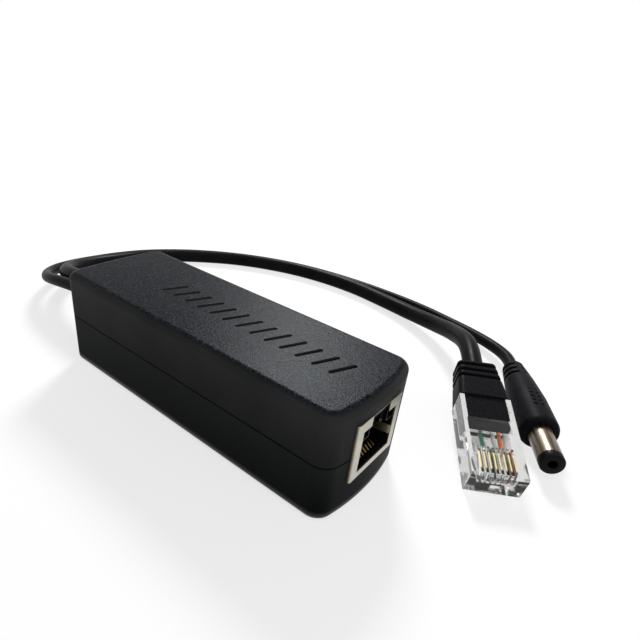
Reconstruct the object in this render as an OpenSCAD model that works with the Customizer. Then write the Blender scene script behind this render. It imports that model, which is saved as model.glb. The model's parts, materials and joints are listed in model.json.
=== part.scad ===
// Inline power splitter: a two-shell housing with a shielded network jack at one end,
// and at the other end two leads, one to a clear network plug and one to a coaxial power plug.
// +X points out of the jack, +Z is up, and the origin is under the middle of the housing.

/* [Housing] */
// Length of the housing, between the middles of its bowed ends
housing_len = 85; // [80:0.5:95]
// Width of the housing
housing_w = 28.6; // [27.6:0.2:34]
// Height of the housing
housing_h = 25; // [24:0.2:30]
// Thickness of the moulded walls
wall = 1.8; // [1.4:0.1:2.2]
// Height of the parting line between the two shells
split_h = 13.3; // [12:0.1:15]
// How far the jack end bows out
front_bow = 1.9; // [0.8:0.1:2.6]
// How far the lead end bows out
rear_bow = 1; // [0.6:0.1:2.6]
// Radius of the upright corners at the jack end
front_corner_r = 3.9; // [2.8:0.1:5]
// Radius of the upright corners at the lead end
rear_corner_r = 3; // [2.6:0.1:5]
// Radius of the edge round the top
top_edge_r = 1.9; // [0.8:0.1:2.2]
// Radius of the edge round the bottom
bottom_edge_r = 1.6; // [0.8:0.1:2.2]
// Width of the bevel that each shell has along the parting line
seam_bevel = 0.2; // [0.1:0.05:0.4]

/* [Shell joint] */
// Height of the lip that locates the upper shell
lip_h = 1.5; // [1:0.1:2]
// Thickness of that lip
lip_t = 0.8; // [0.5:0.1:1]
// Width of each snap hook
hook_w = 5; // [3:0.5:7]
// Thickness of a hook's arm
hook_t = 1; // [0.8:0.1:1.2]
// How far a hook's arm reaches below the parting line
hook_reach = 3.5; // [3:0.1:4]
// How far a hook's barb and its catch stand out
catch_depth = 1; // [0.7:0.1:1.1]
// Thickness of the catch and of the barb
catch_t = 1; // [0.8:0.1:1.2]
// Distance of the hooks from the middle of the housing
hook_x = 8; // [6:0.5:12]
// Clearance between moulded pieces
fit_gap = 0.2; // [0.1:0.05:0.3]

/* [Circuit board] */
// Room for the leads between the rear wall and the board
lead_room = 15; // [13:0.5:18]
// Gap between the board and each side wall
board_side_gap = 1.5; // [1.2:0.1:2]
// Thickness of the board
board_t = 1.6; // [1:0.1:2]
// Share of the housing's spare height that lies under the board
spare_under = 0.65625; // [0.5:0.03125:0.75]
// How far the jack stands out in front of the board
jack_overhang = 4; // [3:0.1:5]
// Diameter of the posts under the board
post_d = 4; // [3:0.1:5]
// Diameter of the locating pins on the posts
post_pin_d = 1.8; // [1.2:0.1:2.2]
// Distance from the board's edges to its locating holes
post_inset = 2.6; // [2.4:0.1:3]
// Clearance round the locating pins
pin_gap = 0.2; // [0.1:0.05:0.3]

/* [Network jack] */
// Width of the jack's shield
jack_w = 16; // [15.6:0.1:16.4]
// Height of the jack's shield
jack_h = 13.4; // [13:0.1:13.8]
// Depth of the jack's shield
jack_depth = 21.3; // [20.8:0.1:22]
// Thickness of the shield's sheet
sheet_t = 0.3; // [0.2:0.05:0.4]
// Width of the opening for a plug
port_w = 11.8; // [11.7:0.05:12.2]
// Height of the opening in the shield
port_h = 9.6; // [9.2:0.1:10]
// Height of the sill under the opening
sill_h = 1.45; // [1.3:0.05:1.6]
// Height of the channel that takes the plug's body
channel_h = 7; // [6.8:0.05:7.2]
// Depth of that channel
channel_depth = 14.5; // [13.5:0.1:15]
// Width of the channel that takes the plug's latch
latch_channel_w = 6.4; // [6.2:0.1:6.8]
// Width of the gap between the two shoulders that hold the latch
latch_gap_w = 3.6; // [3.4:0.1:4]
// Distance between neighbouring contacts, here and in the plug
contact_pitch = 1.02; // [1:0.01:1.04]
// Width of one contact, here and in the plug
contact_w = 0.35; // [0.3:0.01:0.4]

/* [Leads] */
// Diameter of the network lead
net_lead_d = 5; // [4.6:0.1:5.2]
// Diameter of the power lead
power_lead_d = 3.5; // [3:0.1:3.7]
// Clearance round the leads in the housing's wall
lead_gap = 0.2; // [0.1:0.05:0.3]
// Width of the cable tie inside the housing
tie_w = 2.5; // [2:0.1:3]
// Thickness of the cable tie
tie_t = 1.1; // [0.8:0.1:1.4]
// Diameter of the network lead's cores
net_core_d = 0.9; // [0.8:0.05:0.95]
// Diameter of the power lead's cores
power_core_d = 1.3; // [1:0.05:1.5]

/* [Network plug] */
// Length of the clear plug
plug_len = 21.5; // [21:0.1:23]
// Width of the clear plug
plug_w = 11.68; // [11.6:0.01:11.75]
// Thickness of the clear plug
plug_t = 6.6; // [6.5:0.05:6.75]
// Length of the latch, from the nose to its free end
latch_len = 14.6; // [13.5:0.1:15]
// How far the latch's free end stands off the plug
latch_lift = 3.5; // [3:0.1:3.5]
// Thickness of the latch
latch_t = 1; // [0.8:0.05:1.2]
// Length of a contact blade
blade_len = 5.2; // [4.8:0.1:5.6]
// Length of the black boot behind the plug
boot_len = 12; // [10:0.5:16]
// Width of the boot where it leaves the plug
boot_w = 11.8; // [11:0.1:12.4]
// Width of the boot where the lead enters
boot_rear_w = 9.4; // [8.6:0.1:10.4]
// Thickness of the boot where it leaves the plug
boot_t = 7.4; // [7:0.1:7.8]
// Thickness of the boot where the lead enters
boot_rear_t = 6.4; // [6:0.1:7]
// Length of the boot's tongue inside the plug
tongue_len = 9.5; // [8.5:0.1:10]

/* [Power plug] */
// Outer diameter of the metal sleeve
sleeve_d = 5.5; // [5.4:0.05:5.6]
// Length of the sleeve that shows, with its insulating tip
sleeve_len = 10.5; // [9:0.1:11.5]
// Length of the black insulating tip
tip_len = 1.8; // [1.2:0.1:2.4]
// Diameter of the hole in the tip
tip_bore = 2.1; // [2:0.05:2.5]
// Depth of that hole
bore_depth = 9; // [8:0.1:9.5]
// Thickness of the sleeve's wall
sleeve_t = 0.35; // [0.25:0.05:0.45]
// Diameter of the moulded grip at its front
grip_d = 9.2; // [8.6:0.1:9.2]
// Diameter of the grip where its strain relief starts
grip_rear_d = 7.6; // [7:0.1:8]
// Length of the grip in front of its strain relief
grip_len = 21; // [18:0.5:24]
// Length of the strain relief
relief_len = 9; // [8:0.1:11]
// Diameter of the strain relief where the lead enters
relief_d = 5.6; // [5.2:0.1:6]

/* [Hidden] */

BLACK = "#1d1e21";
TIN = "#c4bca8";
GOLD = "#d6b25a";

ROUND = 48;       // facets of a full circle on turned pieces
CORNER_STEPS = 6; // facets of one upright corner
BOW_STEPS = 10;   // facets of one bowed end
EDGE_STEPS = 4;   // facets of one rounded edge
PINS = 8;         // contacts in the jack and in the plug
EPS = 0.01;       // how far a cutter runs past the face that it opens

// The leads' routes over the table, from the ends of their jackets inside the housing to the
// plugs, measured from the housing's rear
net_points = [[8.5, 2, 12.6], [0.5, 2, 12.6], [-7.8, 1.9, 12.5], [-17, 1.8, 12], [-25.6, 2.2, 10.9],
    [-33.5, 4, 9.2], [-39.7, 7.9, 7.4], [-44.5, 13.8, 5.7], [-47.3, 21.2, 4.3], [-48.1, 29.5, 3.2],
    [-46.9, 38.3, 2.6], [-43.1, 47, 2.6], [-37.4, 55.4, 2.6], [-29.8, 63.4, 2.6], [-21, 70.6, 2.6],
    [-10.3, 76.7, 2.6], [1.5, 81.3, 2.6], [14.5, 84, 2.6], [28, 84.6, 2.6], [41.5, 82.8, 2.7],
    [54.5, 79, 3.6], [65.5, 73, 5.9], [74.5, 65, 9.2], [81.8, 55.5, 12], [87.9, 44.8, 11.28]];
power_points = [[8.5, -2.5, 12.6], [0.5, -2.5, 12.6], [-8.4, -2.7, 12.4], [-19, -3, 11.5],
    [-28.9, -2.8, 9.9], [-36.9, -1.1, 7.9], [-44.1, 3.1, 6], [-49.7, 9.6, 4.4], [-53.1, 17.6, 3.1],
    [-54.3, 26.4, 2.2], [-53.4, 35.8, 1.8], [-49.9, 45.4, 1.8], [-44.1, 54.8, 1.8],
    [-36.4, 63.7, 1.8], [-26.9, 71.9, 1.8], [-15.5, 79.1, 1.8], [-2.9, 84.6, 1.8],
    [10.9, 88.2, 1.8], [25.5, 90, 1.8], [40, 90.3, 1.8], [53.5, 89.3, 1.8], [65.2, 86.8, 1.9],
    [75, 83.2, 2.5], [83.1, 78.4, 3.4], [89, 72.9, 4.3], [93.1, 66.4, 4.65]];
plug_heading = 122.5; // direction from the nose of the network plug to its lead
plug_pitch = 14;      // how far the plug tips up, standing on its nose and its latch
power_heading = 119;  // direction from the tip of the power plug to its lead

// Levels and places that several pieces share
board_h = wall + spare_under * (housing_h - 2 * wall - jack_h - board_t);
board_top = board_h + board_t;
jack_face = housing_len / 2;
jack_back = jack_face - jack_depth;
rear_face = -housing_len / 2;
cavity_w = housing_w - 2 * wall;
board_w = cavity_w - 2 * board_side_gap;
board_front = jack_face - jack_overhang;
board_rear = rear_face + lead_room;
board_len = board_front - board_rear;
board_mid = (board_front + board_rear) / 2;
ceiling = housing_h - wall;
snug = 0.05; // gap between pieces that are pressed or moulded together
net_route = [for (p = net_points) p + [rear_face, 0, 0]];
power_route = [for (p = power_points) p + [rear_face, 0, 0]];
lead_z = net_route[0][2];

// The board's layout is drawn for this room behind the jack, and follows the real room
layout_room = [48.7, 22, 15.6];
layout_scale = [(jack_back - board_rear) / layout_room[0], board_w / layout_room[1],
    (ceiling - board_top) / layout_room[2]];

// Middles of the parts on the board, from its rear edge and its middle line
lan_at = [42.7, 0];
bridge_at = [34.7, 5];
controller_at = [27.2, -4.6];
input_at = [27.2, 5.2];
diode_at = [27.2, -9.3];
transformer_at = [16.5, 0];
output_at = [6.5, 3.6];
output_controller_at = [7.4, -7.2];
choke_at = [5, -3.4];
chips_at = [30.1, 32.4, 34.7, 37];
net_pads = [0.6, 2.4, 4.2, 6];
power_pads = [-3.2, -5.6];
pad_from = 1.2;
pad_len = 1;
pillar_from = 6;

// Packages: length, width, height, legs on a side, their pitch, and the span over the legs
LAN_PACKAGE = [12.7, 7, 5.4, 8, 1.27, 9.6];
BRIDGE_PACKAGE = [4.7, 3.9, 2.4, 2, 2.5, 6.6];
CONTROLLER_PACKAGE = [4.9, 3.9, 1.5, 4, 1.27, 6];
OUTPUT_PACKAGE = [3, 1.7, 1.1, 3, 0.95, 2.8];
DIODE_PACKAGE = [2.7, 4.3, 2.2, 1, 3.6, 5.4];
CHIP = [1.3, 2, 1.2];
post_x = board_len / 2 - post_inset;
post_y = board_w / 2 - post_inset;

// Jack levels, above the board
channel_w = port_w + 0.1;
port_top = sill_h + port_h;
channel_top = sill_h + channel_h;
latch_top = jack_h - sheet_t - 0.8;
shoulder = [-1, -2.6]; // front and back of the shoulders that hold a latch
slope_end = -3;
contact_thick = 0.3;
trough_depth = 1.2;
trough_from = -1.1;
tail_len = board_t + 0.6;
tail_x = [-15.8, -18.3];
tail_room = 0.4;
tab_x = [-9.8, -17];
tab_w = 1.6;

// Springs of the shield: points from its front, and from the side or the top of the opening
SIDE_SPRING = [[-0.15, -0.085], [-0.6, -0.25], [-3.2, -0.75], [-6.4, -0.125]];
TOP_SPRING = [[-0.15, 0.125], [-0.7, -0.25], [-2.6, -0.9], [-5, -0.25]];
spring_t = 0.25;
spring_w = 2;
spring_z = 2.6;
top_spring_w = 1.7;
top_spring_y = port_w / 2 - 0.3 - spring_w / 2;
pocket_w = spring_w + 0.4;
pocket_depth = 6;

// Path of a jack contact past its tail: under the channel, round its fold and up the spring
CONTACT_PATH = [[-2.8, -0.8], [-2, -0.2], [-2.8, 0.4], [-10.6, 2.3]];

// Plug levels, above its underside
lead_axis = plug_t / 2;
core_axis = 3.6;
slot_depth = 2.2;
slot_from = 0.7;
blade_drop = 0.25;
nose_bevel = [0.5, 0.35]; // along the contacts' side and along the latch's side
core_bore = 0.98;
LATCH_ROOT = [[1.2, 0.3], [4, -0.42], [8.2, -1.45]];
latch_w = [6.2, 3.3]; // near the nose and at the free end
cavity_len = tongue_len + fit_gap;
tongue_w = plug_w - 2.4;
tongue_t = 4;
tongue_chamfer = 1.2;
lid_len = 6.5;
lid_drop = 0.1;
plug_reach = plug_len + boot_len;
power_reach = sleeve_len + grip_len + relief_len;

// Shared shapes

function arc(c, r, from, to, steps) =
    [for (i = [0:steps]) let (a = from + (to - from) * i / steps) c + r * [cos(a), sin(a)]];

function inner(list) = [for (i = [1:len(list) - 2]) list[i]];

function unit(v) = v / norm(v);

function last(list) = list[len(list) - 1];

// Half of the housing's outline, round the end at +X, moved inwards by inset
function end_outline(bow, corner_r, inset) =
    let (
        bow_r = (pow(housing_w / 2, 2) + pow(bow, 2)) / (2 * bow) - inset,
        r = max(corner_r - inset, 0.3),
        bow_x = housing_len / 2 - inset - bow_r,
        corner_y = housing_w / 2 - inset - r,
        corner_x = bow_x + sqrt(pow(bow_r - r, 2) - pow(corner_y, 2)),
        meet = atan2(corner_y, corner_x - bow_x)
    )
    concat(
        arc([corner_x, -corner_y], r, -90, -meet, CORNER_STEPS),
        inner(arc([bow_x, 0], bow_r, -meet, meet, BOW_STEPS)),
        arc([corner_x, corner_y], r, meet, 90, CORNER_STEPS)
    );

function housing_outline(inset) =
    let (rear = end_outline(rear_bow, rear_corner_r, inset))
    concat(
        end_outline(front_bow, front_corner_r, inset),
        [for (i = [len(rear) - 1:-1:0]) [-rear[i][0], rear[i][1]]]
    );

function housing_ring(inset, z) = [for (p = housing_outline(inset)) [p[0], p[1], z]];

// Skin over a stack of rings that have equally many points, each counter-clockwise from its end
module loft(rings) {
    n = len(rings[0]);
    top = (len(rings) - 1) * n;
    sides = [for (k = [0:len(rings) - 2], i = [0:n - 1])
        let (j = (i + 1) % n) [k * n + i, k * n + n + i, k * n + n + j, k * n + j]];
    polyhedron(
        points = [for (ring = rings) each ring],
        faces = concat([[for (i = [0:n - 1]) i]], sides, [[for (i = [n - 1:-1:0]) top + i]]),
        convexity = 6
    );
}

// Ring of a tube round point c, square to direction t
function tube_ring(c, t, r, sides) =
    let (across = unit(cross([0, 0, 1], t)), up = cross(t, across))
    [for (i = [0:sides - 1]) c + r * (cos(360 * i / sides) * across + sin(360 * i / sides) * up)];

function route_dir(route, i) =
    unit(route[min(i + 1, len(route) - 1)] - route[max(i - 1, 0)]);

// Tube along a route, with a ring at each point and square ends along the two given directions
module tube(route, d, sides, start_dir, end_dir) {
    ends = len(route) - 1;
    loft([for (i = [0:ends])
        let (t = i == 0 ? start_dir : i == ends ? end_dir : route_dir(route, i))
        tube_ring(route[i], t, d / 2, sides)]);
}

// Outline of a bent strip of even thickness along a path of points
function strip_side(path, offset) =
    [for (i = [0:len(path) - 1])
        let (
            before = i == 0 ? unit(path[1] - path[0]) : unit(path[i] - path[i - 1]),
            after = i == len(path) - 1 ? before : unit(path[i + 1] - path[i]),
            mid = unit(before + after),
            stretch = 1 / max(mid * before, 0.5)
        )
        path[i] + offset * stretch * [-mid[1], mid[0]]];

module strip(path, thick) {
    far = strip_side(path, -thick / 2);
    polygon(concat(strip_side(path, thick / 2), [for (i = [len(far) - 1:-1:0]) far[i]]));
}

// Strip whose path lies in the upright plane along X, of the given width across Y
module upright_strip(path, thick, width)
    rotate([90, 0, 0])
        linear_extrude(width, center = true)
            strip(path, thick);

module block(x, y, z)
    translate([x[0], y[0], z[0]])
        cube([x[1] - x[0], y[1] - y[0], z[1] - z[0]]);

module rounded_rect(w, h, r) {
    square([w - 2 * r, h], center = true);
    square([w, h - 2 * r], center = true);
    for (x = [-1, 1], y = [-1, 1])
        translate([x * (w / 2 - r), y * (h / 2 - r)])
            circle(r, $fn = ROUND);
}

module at_jack() translate([jack_face, 0, board_top]) children();

// Places a part on the board, at a point of the layout
module on_board(at)
    translate([board_rear, 0, board_top])
        scale(layout_scale)
            translate([at[0], at[1], 0])
                children();

module at_pins(pitch = contact_pitch)
    for (i = [0:PINS - 1])
        translate([0, (i - (PINS - 1) / 2) * pitch, 0]) {
            $pin = i;
            children();
        }

// Frame of the network plug: +X from its nose to its lead, +Z to its contacts
module at_plug()
    translate(last(net_route))
        rotate([0, 0, plug_heading])
            rotate([0, -plug_pitch, 0])
                translate([-plug_reach, 0, -lead_axis])
                    children();

// Frame of the power plug: +X from its tip to its lead
module at_power_plug()
    translate(last(power_route))
        rotate([0, 0, power_heading])
            translate([-power_reach, 0, 0])
                children();

// Body turned round the X axis from an outline of [distance, radius] points
module turned(outline)
    rotate([90, 0, 90])
        rotate_extrude($fn = ROUND)
            polygon([for (p = outline) [p[1], p[0]]]);

// Housing

module jack_window()
    block([jack_face - wall - front_bow, jack_face + 1],
        [-jack_w / 2 - fit_gap, jack_w / 2 + fit_gap],
        [board_top - fit_gap, board_top + jack_h + fit_gap]);

module lead_holes()
    for (lead = [[net_route[0], net_lead_d], [power_route[0], power_lead_d]])
        translate([-housing_len / 2 - 1, lead[0][1], lead[0][2]])
            rotate([0, 90, 0])
                cylinder(d = lead[1] + 2 * lead_gap, h = wall + rear_bow + 2, $fn = ROUND);

module housing_slab(inset, from, to)
    translate([0, 0, from])
        linear_extrude(to - from)
            polygon(housing_outline(inset));

module at_hooks()
    for (x = [-1, 1], side = [0, 1])
        mirror([0, side, 0])
            translate([x * hook_x, 0, 0])
                children();

module at_posts()
    for (x = [-1, 1], y = [-1, 1])
        translate([board_mid + x * post_x, y * post_y, 0])
            children();

hook_face = cavity_w / 2 - catch_depth - fit_gap;
hook_foot = split_h - hook_reach;
lip_top = split_h + lip_h;

module lower_shell() {
    r = bottom_edge_r;
    edge = [for (i = [0:EDGE_STEPS]) let (a = 90 * i / EDGE_STEPS) [r - r * sin(a), r - r * cos(a)]];
    color(BLACK) {
        difference() {
            union() {
                difference() {
                    loft([for (e = concat(edge, [[0, split_h - seam_bevel], [seam_bevel, split_h]]))
                        housing_ring(e[0], e[1])]);
                    housing_slab(wall, wall, split_h + EPS);
                }
                difference() {
                    housing_slab(wall - lip_t, split_h - EPS, lip_top);
                    housing_slab(wall, split_h - 2 * EPS, lip_top + EPS);
                }
            }
            jack_window();
            lead_holes();
        }
        at_posts() {
            translate([0, 0, wall - EPS])
                cylinder(d = post_d, h = board_h - wall + EPS, $fn = ROUND);
            cylinder(d = post_pin_d, h = board_top - fit_gap, $fn = ROUND);
        }
        at_hooks()
            block([-hook_w / 2 - 1, hook_w / 2 + 1],
                [cavity_w / 2 - catch_depth, cavity_w / 2 + EPS],
                [hook_foot + catch_t + fit_gap, hook_foot + 2 * catch_t + fit_gap]);
    }
}

pillar_x = 1.6;
pillar_y = 1.8;

module upper_shell() {
    r = top_edge_r;
    edge = [for (i = [0:EDGE_STEPS]) let (a = 90 * i / EDGE_STEPS)
        [r - r * cos(a), housing_h - r + r * sin(a)]];
    color(BLACK) {
        difference() {
            loft([for (e = concat([[seam_bevel, split_h], [0, split_h + seam_bevel]], edge))
                housing_ring(e[0], e[1])]);
            housing_slab(wall, split_h - EPS, ceiling);
            housing_slab(wall - lip_t - fit_gap / 2, split_h - EPS, lip_top + fit_gap);
            jack_window();
            lead_holes();
        }
        at_hooks() {
            block([-hook_w / 2, hook_w / 2], [hook_face - hook_t, cavity_w / 2 + EPS],
                [lip_top + fit_gap, lip_top + fit_gap + 3]);
            block([-hook_w / 2, hook_w / 2], [hook_face - hook_t, hook_face],
                [hook_foot, lip_top + fit_gap + EPS]);
            block([-hook_w / 2, hook_w / 2], [hook_face - EPS, hook_face + catch_depth],
                [hook_foot, hook_foot + catch_t]);
        }
        for (x = [board_rear + pillar_from, jack_back - pillar_x], y = [-1, 1])
            translate([x, y * (board_w / 2 - pillar_y / 2), (board_top + fit_gap / 2 + ceiling) / 2])
                cube([pillar_x, pillar_y, ceiling - board_top - fit_gap / 2 + 2 * EPS], center = true);
    }
}

// Network jack

module jack_shield()
    color(TIN) at_jack() {
        difference() {
            translate([-jack_depth / 2, 0, 0])
                linear_extrude(jack_h)
                    rounded_rect(jack_depth, jack_w, 0.5);
            block([-jack_depth + sheet_t, -sheet_t], (jack_w / 2 - sheet_t) * [-1, 1],
                [-EPS, jack_h - sheet_t]);
            block([-sheet_t - EPS, EPS], port_w / 2 * [-1, 1], [sill_h, port_top]);
            block([-sheet_t - EPS, EPS], latch_channel_w / 2 * [-1, 1], [port_top - EPS, latch_top]);
        }
        // Springs folded in from the sides of the opening
        for (side = [0, 1])
            mirror([0, side, 0])
                translate([0, port_w / 2, sill_h + spring_z])
                    linear_extrude(spring_w)
                        strip(SIDE_SPRING, spring_t);
        // Springs folded in from the top edge, beside the latch
        for (side = [-1, 1])
            translate([0, side * top_spring_y, port_top])
                upright_strip(TOP_SPRING, spring_t, top_spring_w);
        // Tabs that are soldered into the board
        for (x = tab_x, side = [-1, 1])
            translate([x, side * (jack_w / 2 - sheet_t / 2), -tail_len / 2])
                cube([tab_w, sheet_t, tail_len + EPS], center = true);
    }

insert_w = jack_w - 2 * sheet_t - 2 * snug;
insert_top = jack_h - sheet_t - snug;

module jack_insert()
    color("#141416") at_jack() difference() {
        block([-jack_depth + sheet_t + snug, -sheet_t], insert_w / 2 * [-1, 1], [snug, insert_top]);
        block([-channel_depth, EPS], channel_w / 2 * [-1, 1], [sill_h, channel_top]);
        // Latch channel, with the two shoulders that hold a latch
        block([-channel_depth, shoulder[1]], latch_channel_w / 2 * [-1, 1],
            [channel_top - EPS, latch_top]);
        block([slope_end, EPS], latch_gap_w / 2 * [-1, 1], [channel_top - EPS, latch_top]);
        block([shoulder[0], EPS], latch_channel_w / 2 * [-1, 1], [channel_top - EPS, latch_top]);
        // Pockets for the top springs
        for (side = [-1, 1])
            translate([0, side * top_spring_y, 0])
                block([-pocket_depth, EPS], pocket_w / 2 * [-1, 1],
                    [channel_top + spring_t, port_top + spring_t]);
        // Trough for the contacts and slots for their tails
        block([tail_x[1] - tail_room, trough_from], PINS * contact_pitch / 2 * [-1, 1],
            [sill_h - trough_depth, sill_h + EPS]);
        at_pins()
            translate([tail_x[$pin % 2], 0, 0])
                cube([contact_thick + fit_gap, contact_w + fit_gap, 2 * sill_h], center = true);
    }

// One contact: tail through the board, run under the channel, fold at the front, spring
module jack_contact(tail)
    upright_strip(concat([[tail, -tail_len], [tail, sill_h + CONTACT_PATH[0][1]]],
        [for (p = CONTACT_PATH) [p[0], p[1] + sill_h]]), contact_thick, contact_w);

module jack_contacts()
    color(GOLD) at_jack() at_pins() jack_contact(tail_x[$pin % 2]);

// Circuit board and what stands on it

core_w = 13;
core_h = 11.5;
core_t = 6;
core_lift = 1.5;
core_leg = 3.2;
core_side = 2.2;
core_yoke = 2;
bobbin_t = 0.7;
bobbin_gap = 0.1;
rail_w = 2.5;
can_d = 8;
can_h = 12;
can_edge = 0.4;
can_dish = 0.3;
can_groove = [1.6, 0.35]; // height and depth of the rolled groove
choke_d = 4.2;
choke_waist = 3;
choke_h = 3.2;
choke_flange = 0.6;
leg_pitch = 2.5;

rail_x = core_t / 2 + bobbin_gap + rail_w / 2;

module circuit_board()
    color("#1f5a36") difference() {
        translate([board_mid, 0, board_h])
            linear_extrude(board_t)
                rounded_rect(board_len, board_w, 0.8);
        at_posts()
            cylinder(d = post_pin_d + 2 * pin_gap, h = board_top + 1, $fn = ROUND);
        translate([0, 0, -board_top + board_h - 1]) {
            at_jack() at_pins()
                translate([tail_x[$pin % 2], 0, 0])
                    cylinder(d = 0.8, h = board_t + 2, $fn = ROUND / 2);
            at_jack()
                for (x = tab_x, side = [-1, 1])
                    translate([x, side * (jack_w / 2 - sheet_t / 2), board_t / 2 + 1])
                        cube([tab_w + 2 * fit_gap, sheet_t + 2 * fit_gap, board_t + 2], center = true);
            on_board(transformer_at)
                for (x = [-1, 1], y = [-1.5:1:1.5])
                    translate([x * rail_x, y * leg_pitch, 0])
                        cylinder(d = 1, h = board_t + 2, $fn = ROUND / 2);
        }
    }

// Moulded package with rows of bent legs along both long sides
module package(sizes) {
    l = sizes[0];
    w = sizes[1];
    h = sizes[2];
    legs = sizes[3];
    pitch = sizes[4];
    span = sizes[5];
    stand = 0.15;
    leg_t = 0.2;
    bend = (w + span) / 4;
    block(l / 2 * [-1, 1], w / 2 * [-1, 1], [stand, stand + h]);
    for (i = [0:legs - 1], side = [0, 1])
        mirror([0, side, 0])
            translate([(i - (legs - 1) / 2) * pitch, 0, 0])
                rotate([90, 0, 90])
                    linear_extrude(pitch * 0.35, center = true)
                        strip([[w / 2 - leg_t, h / 2], [bend, h / 2], [bend + leg_t, leg_t / 2],
                            [span / 2, leg_t / 2]], leg_t);
}

module lan_transformer()
    color("#17181a") on_board(lan_at) rotate([0, 0, 90]) package(LAN_PACKAGE);

module bridge_rectifiers()
    color("#202124")
        for (side = [-1, 1])
            on_board([bridge_at[0], side * bridge_at[1]]) package(BRIDGE_PACKAGE);

module power_controller()
    color("#18191b") on_board(controller_at) package(CONTROLLER_PACKAGE);

module output_controller()
    color("#18191b") on_board(output_controller_at) package(OUTPUT_PACKAGE);

module transformer_core()
    color("#3a3b3f") on_board(transformer_at)
        translate([0, 0, core_lift])
            rotate([90, 0, 90])
                linear_extrude(core_t, center = true)
                    difference() {
                        translate([-core_w / 2, 0])
                            square([core_w, core_h]);
                        for (side = [0, 1])
                            mirror([side, 0])
                                translate([core_leg / 2, core_yoke])
                                    square([core_w / 2 - core_side - core_leg / 2,
                                        core_h - 2 * core_yoke]);
                    }

window_h = core_h - 2 * core_yoke - 2 * bobbin_gap;
window_z = core_lift + core_yoke + bobbin_gap;
window_w = core_w / 2 - core_side - core_leg / 2;
tube_y = core_leg / 2 + bobbin_gap;
tube_x = core_t / 2 + bobbin_gap;

module collar(x, y, room_x, room_y, from, to)
    translate([0, 0, from])
        linear_extrude(to - from)
            difference() {
                square(2 * [x, y], center = true);
                square(2 * [room_x, room_y], center = true);
            }

module transformer_bobbin()
    color("#26282c") on_board(transformer_at) {
        collar(tube_x + bobbin_t, tube_y + bobbin_t, tube_x, tube_y, window_z, window_z + window_h);
        for (z = [window_z, window_z + window_h - bobbin_t])
            collar(tube_x + rail_w, core_leg / 2 + window_w - bobbin_gap, tube_x, tube_y,
                z, z + bobbin_t);
        for (side = [0, 1])
            mirror([side, 0, 0]) {
                block([tube_x, tube_x + rail_w], core_w / 2 * [-1, 1], [0, window_z + bobbin_t]);
                for (y = [-1.5:1:1.5])
                    translate([rail_x, y * leg_pitch, -tail_len])
                        cylinder(d = 0.7, h = tail_len + EPS, $fn = ROUND / 2);
            }
    }

module transformer_winding()
    color("#d8b24a") on_board(transformer_at)
        collar(tube_x + rail_w - 0.4, core_leg / 2 + window_w - 2 * bobbin_gap,
            tube_x + bobbin_t, tube_y + bobbin_t, window_z + bobbin_t,
            window_z + window_h - bobbin_t);

// Aluminium can with a sleeve, a rolled groove near its foot and a dished top
module standing_can(d, h)
    rotate_extrude($fn = ROUND)
        polygon([[0, can_dish], [d / 2 - can_edge, 0], [d / 2, can_dish],
            [d / 2, can_groove[0] - can_edge], [d / 2 - can_groove[1], can_groove[0]],
            [d / 2, can_groove[0] + can_edge], [d / 2, h - can_edge], [d / 2 - can_edge, h],
            [d / 2 - can_edge - can_dish, h - can_dish], [0, h - can_dish]]);

module input_capacitor()
    color("#23262b") on_board(input_at) standing_can(can_d, can_h);

module output_capacitor()
    color("#23262b") on_board(output_at) standing_can(can_d, can_h - 1);

module output_choke()
    color("#4a4b50") on_board(choke_at)
        rotate_extrude($fn = ROUND)
            polygon([[0, 0], [choke_d / 2, 0], [choke_d / 2, choke_flange],
                [choke_waist / 2, choke_flange], [choke_waist / 2, choke_h - choke_flange],
                [choke_d / 2, choke_h - choke_flange], [choke_d / 2, choke_h], [0, choke_h]]);

module output_diode()
    color("#18191b") on_board(diode_at) rotate([0, 0, 90]) package(DIODE_PACKAGE);

module chip_capacitors()
    color("#b09468")
        for (x = chips_at)
            on_board([x, 0])
                block(CHIP[0] / 2 * [-1, 1], CHIP[1] / 2 * [-1, 1], [0, CHIP[2]]);

// Leads

module net_cores()
    color("#b9bcc2")
        for (i = [0:3])
            core_wire(net_route[0] + net_core_d * 0.72 * [0, i < 2 ? -1 : 1, i % 2 == 0 ? -1 : 1],
                net_pads[i], net_core_d);

// Core from the end of a jacket to its pad on top of the board
module core_wire(start, pad_y, d) {
    pad = [board_rear + pad_from, pad_y * layout_scale[1], board_top + d / 2];
    run = pad[0] - start[0];
    tube([start, start + [run * 0.2, 0, 0], [start[0] + run * 0.55, (start[1] + pad[1]) / 2,
        (start[2] + pad[2]) / 2], pad - [run * 0.18, 0, -d / 3], pad, pad + [pad_len, 0, 0]],
        d, 8, [1, 0, 0], [1, 0, 0]);
}

module power_core(i)
    core_wire(power_route[0] + [0, (1 - 2 * i) * power_core_d * 0.56, 0], power_pads[i],
        power_core_d);

module power_core_plus()
    color("#b3261e") power_core(0);

module power_core_minus()
    color("#202124") power_core(1);

tie_from = 4.4;
tie_snug = 0.03;
tie_sink = 0.4;
tie_head = [1.2, 4.4, 2.2]; // how much longer than the band is wide, then width and height

module tie_core(gap)
    hull() {
        translate([net_route[0][1], net_route[0][2]])
            circle(d = net_lead_d + 2 * gap, $fn = 32);
        translate([power_route[0][1], power_route[0][2]])
            circle(d = power_lead_d + 2 * gap, $fn = 32);
    }

module cable_tie()
    color("#e6e4dc")
        translate([net_route[0][0] - tie_from, 0, 0]) {
            rotate([90, 0, 90])
                linear_extrude(tie_w)
                    difference() {
                        tie_core(tie_t);
                        tie_core(tie_snug);
                    }
            translate([-tie_head[0] / 2, -tie_head[1] / 2, lead_z + net_lead_d / 2 + tie_t - tie_sink])
                cube([tie_w + tie_head[0], tie_head[1], tie_head[2]]);
        }

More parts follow.
